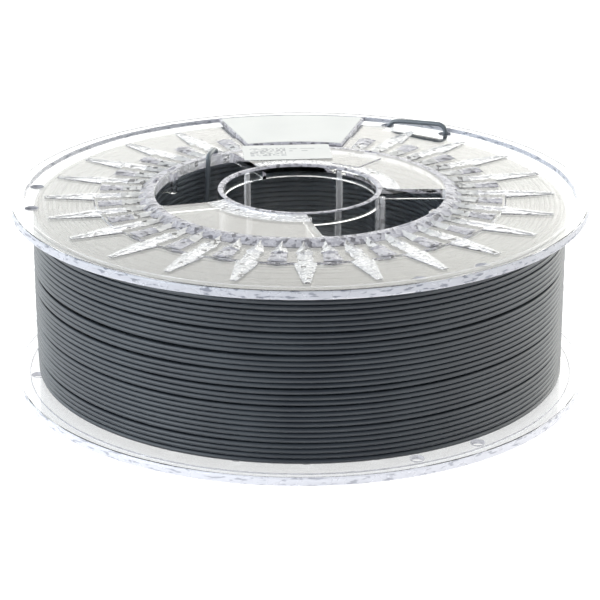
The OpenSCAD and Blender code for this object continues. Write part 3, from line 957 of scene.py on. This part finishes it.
def makeTopFlange():
    margin = plinth["crystalMargin"]
    top = makeFlange("topFlange", (labelArc[0] - margin, labelArc[1] + margin), 0, hubRise)
    rise = spool["collarTop"] - spool["width"]
    addCollar(top, rise)
    addFillet(top, rise)
    addPlinth(top, plinth)
    addPad(top)
    addHooks(top, joints)
    cutKeyways(top, joints)
    markWalls(top, -flangeThickness, hubRise)
    top.data.transform(Matrix.Translation((0, 0, spool["width"])))
    finishPiece(top, mouldingMaterials, ["top_flange"])


def addTubeRibs(body, wallTop, j):
    # a rib on the tube, and a slimmer tongue on its top
    for place in turnsAround(j["ribs"], spool["hubTurn"]):
        bm = bmesh.new()
        for inset, low, high in (
                (0, j["ribShort"], wallTop - j["ribShort"]),
                (j["tongueInset"], wallTop - j["tongueRoot"],
                 spool["upperFace"] + j["tongueHeight"])):
            size = (j["ribHeight"] + 2 * j["ribSink"] - 2 * inset,
                    j["ribWidth"] - 2 * inset, high - low)
            centre = (tubeR + j["ribHeight"] / 2 - j["ribSink"] + inset, 0, (low + high) / 2)
            addBox(bm, size, centre, place)
        rib = toObject(bm, "rib")
        markIndex(rib, facet)
        combine(body, rib, "UNION")


def makeSpoolBody():
    wallTop = spool["upperFace"] - spool["jointGap"]
    body = makeFlange("spoolBody", None, wallTop - spool["lowerFace"], 0)
    markWalls(body, -flangeThickness, 0)
    body.data.transform(Matrix.Diagonal((1, 1, -1, 1)))      # face down
    bm = bmesh.new()
    bm.from_mesh(body.data)
    bmesh.ops.recalc_face_normals(bm, faces=bm.faces)
    bm.to_mesh(body.data)
    bm.free()
    bm = bmesh.new()
    spinProfile(bm, [(spool["boreR"], 0), (tubeR, 0), (tubeR, wallTop),
                     (spool["boreR"], wallTop)], [(0, hub["collarRound"])], steps=144)
    combine(body, toObject(bm, "tube"), "UNION")
    addTubeRibs(body, wallTop, joints)
    finishPiece(body, mouldingMaterials, ["spool_body"])


makeTopFlange()
makeSpoolBody()
print("mouldings made")

# the filament

winding = {
    "strandD": 1.75 * mm,
    "turns": 31,
    "pointsPerTurn": 120,
    "layerPitch": 1.6 * mm,
    "clearance": 0.08 * mm,     # between the outer layer and the flanges
    "leaveTurn": 78.7,          # where the strand leaves the outer layer, degrees
    "shoulderR": 87.5 * mm,     # the ends of the layers drop outside this radius
    "shoulderDrop": 1.0 * mm,
    # wider gaps between turns: (height as a share, direction, weight, degrees of spread)
    "gaps": [(0.63, 205, 9, 60), (0.55, 200, 8, 55), (0.12, 210, 5, 45), (0.36, 225, 4, 50),
             (0.78, 240, 4, 50), (0.46, 250, 3, 40), (0.70, 330, 4, 40), (0.42, 300, 2, 60),
             (0.22, 315, 2, 50), (0.90, 230, 2, 50), (0.86, 20, 3, 60), (0.48, 60, 3, 80),
             (0.65, 100, 3, 70), (0.30, 130, 3, 60)],
    "spareGap": 0.25,
    "bulge": 0.45 * mm,
    "bulgeTurn": 170,
    "sag": 0.15 * mm,           # uneven depth of the outer turns
    "ringInset": 1.1,           # of the outermost end turn, in strands
    "ringWander": 0.12 * mm,
    "ringSag": 0.2 * mm,
    "coreInset": (0.9, 1.3, 0.6),      # of the core from drum, outside and ends, in strands
    "endGap": 0.05 * mm,        # between the end turns and the flanges
    "ringSteps": 96,            # points per turn
    "ringSides": 8,
    "firstGap": 0.1 * mm,       # between the drum and the first layer
    "firstWander": 0.08 * mm,
    "firstSteps": 64,
    "firstSides": 10,
}


def strandMesh(name, paths, diameter, sides):
    # round strands with closed ends, along lists of points
    curve = bpy.data.curves.new(name, "CURVE")
    curve.dimensions = "3D"
    curve.twist_mode = "Z_UP"
    curve.bevel_depth = diameter / 2
    curve.bevel_resolution = (sides - 4) // 2
    curve.use_fill_caps = True
    for path in paths:
        spline = curve.splines.new("POLY")
        spline.points.add(len(path) - 1)
        for point, p in zip(spline.points, path):
            point.co = (*p, 1)
    obj = newObject(name, curve)
    mesh = bpy.data.meshes.new_from_object(obj.evaluated_get(bpy.context.evaluated_depsgraph_get()))
    bpy.data.objects.remove(obj)
    bpy.data.curves.remove(curve)
    return mesh


def drift(turn, seed):
    # slow, uneven wander along the strand, within about one
    return (0.5 * math.sin(2 * math.pi * 0.317 * turn + seed)
            + 0.3 * math.sin(2 * math.pi * 1.27 * turn + 2.1 * seed)
            + 0.2 * math.sin(2 * math.pi * 2.61 * turn + 0.7 * seed))


def outerHeights(w):
    # each turn lies on the one below it, with a gap that grows and shrinks round the spool
    d, steps, turns = w["strandD"], w["pointsPerTurn"], w["turns"]
    low = spool["lowerFace"] + d / 2 + w["clearance"]
    high = spool["upperFace"] - d / 2 - w["clearance"]
    wanted = []
    for i in range(turns * steps + 1):
        t = i / steps
        weight = w["spareGap"]
        for height, direction, size, spread in w["gaps"]:
            # turns are counted from the bottom, and run clockwise from where the strand leaves
            middle = round(height * turns) + ((w["leaveTurn"] - direction) % 360) / 360
            weight += size * math.exp(-((t - middle) * 360 / spread) ** 2)
        wanted.append(weight)
    slack = high - low - turns * d
    first = slack / turns
    heights = [low + (d + first) * i / steps for i in range(steps)]
    for i in range(steps, turns * steps + 1):
        phase = i % steps
        total = sum(wanted[k] for k in range(phase + steps, turns * steps + 1, steps))
        heights.append(heights[i - steps] + d + (slack - first) * wanted[i] / total)
    return heights


def outerPath(w):
    d, steps = w["strandD"], w["pointsPerTurn"]
    heights = outerHeights(w)
    path = []
    for i, z in enumerate(heights):
        turn = i / steps
        share = i / (len(heights) - 1)
        direction = w["leaveTurn"] - 360 * (turn - w["turns"])
        bulge = 0.5 + 0.5 * math.cos(math.radians(direction - w["bulgeTurn"]))
        bulge *= math.sin(math.pi * share) ** 0.5 if 0 < share < 1 else 0
        sag = w["sag"] * (0.5 + 0.5 * drift(turn, 4.0))
        r = spool["woundR"] - d / 2 + w["bulge"] * bulge - sag
        path.append(polar(r, direction, z))
    return path


def ringPath(w, z, lift, inward):
    # the ends of the layers, seen from above or below
    d = w["strandD"]
    inner = spool["drumR"] + d / 2 + w["firstGap"]
    outer = spool["woundR"] - w["ringInset"] * d
    turns, steps = int((outer - inner) / w["layerPitch"]), w["ringSteps"]
    path = []
    for i in range(turns * steps + 1):
        turn = i / steps
        r = inner + (outer - inner) * turn / turns + w["ringWander"] * drift(turn, 2.2)
        beyond = max(0, (r - w["shoulderR"]) / (outer - w["shoulderR"]))
        drop = w["ringSag"] * (1 + drift(turn * 1.3, 0.4)) + w["shoulderDrop"] * beyond
        path.append(polar(r, 360 * turn * inward, z + lift * drop))
    return path


def innerPath(w):
    # the first layer, on the drum
    d = w["strandD"]
    low, high = spool["lowerFace"] + d / 2, spool["upperFace"] - d / 2
    steps = w["firstSteps"]
    path = []
    for i in range(w["turns"] * steps + 1):
        turn = i / steps
        z = low + (high - low) * turn / w["turns"] + w["firstWander"] * drift(turn, 5)
        path.append(polar(spool["drumR"] + d / 2 + w["firstGap"], -360 * turn, z))
    return path


def makeStrand(name, node, path, material, sides, sharpAngle):
    strand = newObject(name, strandMesh(name, [path], winding["strandD"], sides))
    finishPiece(strand, (material,), [node], sharpAngle)


def makeInnerLayers(w):
    # a dark core, with the strands that show on its ends and through the drum; the turns on the
    # drum take a lighter tone, painted light for the light that reaches them
    d = w["strandD"]
    bm = bmesh.new()
    fromDrum, fromOutside, fromEnds = w["coreInset"]
    inner, outer = spool["drumR"] + fromDrum * d, spool["woundR"] - fromOutside * d
    low, high = spool["lowerFace"] + fromEnds * d, spool["upperFace"] - fromEnds * d
    spinProfile(bm, [(inner, low), (outer, low), (outer, high), (inner, high)], steps=128)
    core = toObject(bm, "innerLayers")
    bm = bmesh.new()
    bm.from_mesh(core.data)
    top = spool["upperFace"] - d / 2 - w["endGap"]
    bottom = spool["lowerFace"] + d / 2 + w["endGap"]
    ends = [ringPath(w, top, -1, 1), ringPath(w, bottom, 1, -1)]
    bm.from_mesh(strandMesh("layers", ends, d, w["ringSides"]))
    outerFaces = len(bm.faces)
    bm.from_mesh(strandMesh("innerTurns", [innerPath(w)], d, w["firstSides"]))
    bm.faces.ensure_lookup_table()
    # the turns on the drum get the filament with painted light
    for f in bm.faces[outerFaces:]:
        f.material_index = 1
    for m in (filament, paintedLightFilament):
        core.data.materials.append(m)
    bm.to_mesh(core.data)
    bm.free()
    finishPiece(core, (filament, paintedLightFilament), ["filament_core"], sharpAngle=60)


def smoothPath(points, steps):
    path = []
    for i in range(len(points) - 1):
        a, b = points[max(i - 1, 0)], points[i]
        c, d = points[i + 1], points[min(i + 2, len(points) - 1)]
        for k in range(steps):
            t = k / steps
            path.append(0.5 * (2 * b + t * (c - a) + t * t * (2 * a - 5 * b + 4 * c - d)
                               + t ** 3 * (3 * b - a - 3 * c + d)))
    return path + [points[-1]]


looseEnds = {
    "layerGap": 0.2 * mm,       # between the outer layer's last turn and the flange
    "rimRise": 1.3 * mm,        # middle of the strand over the rim
    "hubGap": 0.15 * mm,        # between the strand and the hub
    "hangTurn": 8.5,            # degrees from the hole to where the inner end hangs
    "hangGap": 0.4 * mm,        # between it and the drum
    # stops of a strand: (place, run past it, level, height over the level)
    "outerRoute": [("below", -4.6 * mm, "layer", 0), ("below", -2.4 * mm, "layer", 0.1 * mm),
                   ("first", -0.9 * mm, "hole", -1 * mm), ("first", 0, "hole", 0),
                   ("first", 0.9 * mm, "hole", 1 * mm), ("first", 2.4 * mm, "rim", 0.1 * mm),
                   ("first", 5 * mm, "over", -0.6 * mm), ("middle", 0, "over", -0.1 * mm),
                   ("second", -4.6 * mm, "over", 0.3 * mm),
                   ("second", -2.2 * mm, "over", 0.2 * mm),
                   ("second", -0.6 * mm, "over", -0.9 * mm), ("second", 0, "hole", 0.9 * mm),
                   ("second", 0, "hole", -1.4 * mm), ("second", 0, "face", -4 * mm),
                   ("second", 0, "face", -8 * mm)],
    "innerRoute": [("hole", 0, "face", 0), ("hole", 0, "face", winding["strandD"]),
                   ("hole", 0, "over", -1.2 * mm), ("hole", 1.2 * mm, "over", 0),
                   ("middle", 0, "over", 0.25 * mm), ("hang", -1.5 * mm, "over", 0),
                   ("hang", -0.3 * mm, "over", -1 * mm), ("hang", 0, "over", -2.6 * mm)],
    # down the drum: (degrees that it leans, depth)
    "hang": [(0.3, 7 * mm), (0.8, 13 * mm), (1.5, 19 * mm)],
}


def routePoints(route, places, levels):
    points = []
    for name, run, level, height in route:
        place, way = places[name]
        p = place + run * way
        points.append(Vector((p.x, p.y, levels[level] + height)))
    return points


def makeOuterEnd(w, s):
    # from the outer layer up through one hole, over the rim and down the other
    d, rim, face = w["strandD"], spool["width"], spool["upperFace"]
    first = polar(holes["endR"], holes["endTurn"] + holes["endHalf"])
    second = polar(holes["tailR"], holes["endTurn"] - holes["endHalf"])
    across = (second - first).normalized()
    middle = first + (second - first).length / 2 * across
    leaveWay = polar(1, w["leaveTurn"] - 90)
    places = {"below": (first, leaveWay), "first": (first, across),
              "middle": (middle, across), "second": (second, across)}
    recess = flange["panelRecess"]
    levels = {"layer": face - d / 2 - s["layerGap"], "face": face, "rim": rim,
              "hole": rim - recess - (flangeThickness - recess) / 2, "over": rim + s["rimRise"]}
    start = polar(spool["woundR"] - d / 2, w["leaveTurn"], levels["layer"])
    points = [start, start + 2 * d * leaveWay, start + 5 * d * leaveWay]
    points += routePoints(s["outerRoute"], places, levels)
    makeStrand("filamentEnd", "filament_end", smoothPath(points, 6), paintedLightLooseFilament,
               sides=16, sharpAngle=50)


def makeInnerEnd(w, s):
    # up through its hole beside the drum, over the hub and down inside the drum
    d = w["strandD"]
    hole = polar(holes["startR"], holes["startTurn"])
    hangR, hangTurn = drumIn - d / 2 - s["hangGap"], holes["startTurn"] + s["hangTurn"]
    hang = polar(hangR, hangTurn)
    inward = (hang - hole).normalized()
    middle = hole + (hang - hole).length / 2 * inward
    over = spool["hubTop"] + d / 2 + s["hubGap"]
    places = {"hole": (hole, inward), "middle": (middle, inward), "hang": (hang, inward)}
    points = routePoints(s["innerRoute"], places, {"face": spool["upperFace"], "over": over})
    points += [polar(hangR, hangTurn + lean, over - depth) for lean, depth in s["hang"]]
    makeStrand("filamentStart", "filament_start", smoothPath(points, 6), paintedLightLooseFilament,
               sides=16, sharpAngle=50)


makeStrand("outerLayer", "filament_outer_layer", outerPath(winding), filament,
           sides=12, sharpAngle=60)
makeInnerLayers(winding)
makeOuterEnd(winding, looseEnds)
makeInnerEnd(winding, looseEnds)
print("filament made")

# labels

labels = {
    "largeInner": spool["drumR"] + 7 * mm,
    "largeOuter": spool["flangeR"] - flange["rimWidth"] - 0.5 * mm,
    "largeZ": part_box("large_label")[0].z,
    "thickness": hubLabelHigh.z - hubLabelLow.z,
    "smallCentre": Vector((*printSettings["place"][0], 0)),
    "smallTilt": printSettings["place"][1],
    "smallWidth": 32 * mm,
    "smallHeight": 18 * mm,
    "smallCorner": 1 * mm,
}


def makeLabels(s):
    bm = bmesh.new()
    extrudeOutline(bm, sector(s["largeInner"], s["largeOuter"], *labelArc, 32),
                   s["largeZ"], s["largeZ"] + s["thickness"])
    finishPiece(toObject(bm, "largeLabel"), (paper,), ["large_label"])
    bm = bmesh.new()
    w, h, corner = s["smallWidth"] / 2, s["smallHeight"] / 2, s["smallCorner"]
    outline = []
    for x, y, a in ((1, 1, 0), (-1, 1, 90), (-1, -1, 180), (1, -1, 270)):
        centre = Vector((x * (w - corner), y * (h - corner), 0))
        outline += arcPoints(centre, corner, a, a + 90, 4)
    place = Matrix.Translation(s["smallCentre"]) @ turned(s["smallTilt"])
    extrudeOutline(bm, [place @ p for p in outline],
                   spool["hubTop"], spool["hubTop"] + s["thickness"])
    finishPiece(toObject(bm, "smallLabel"), (printedPaper,), ["small_label"])


makeLabels(labels)
print("labels made")
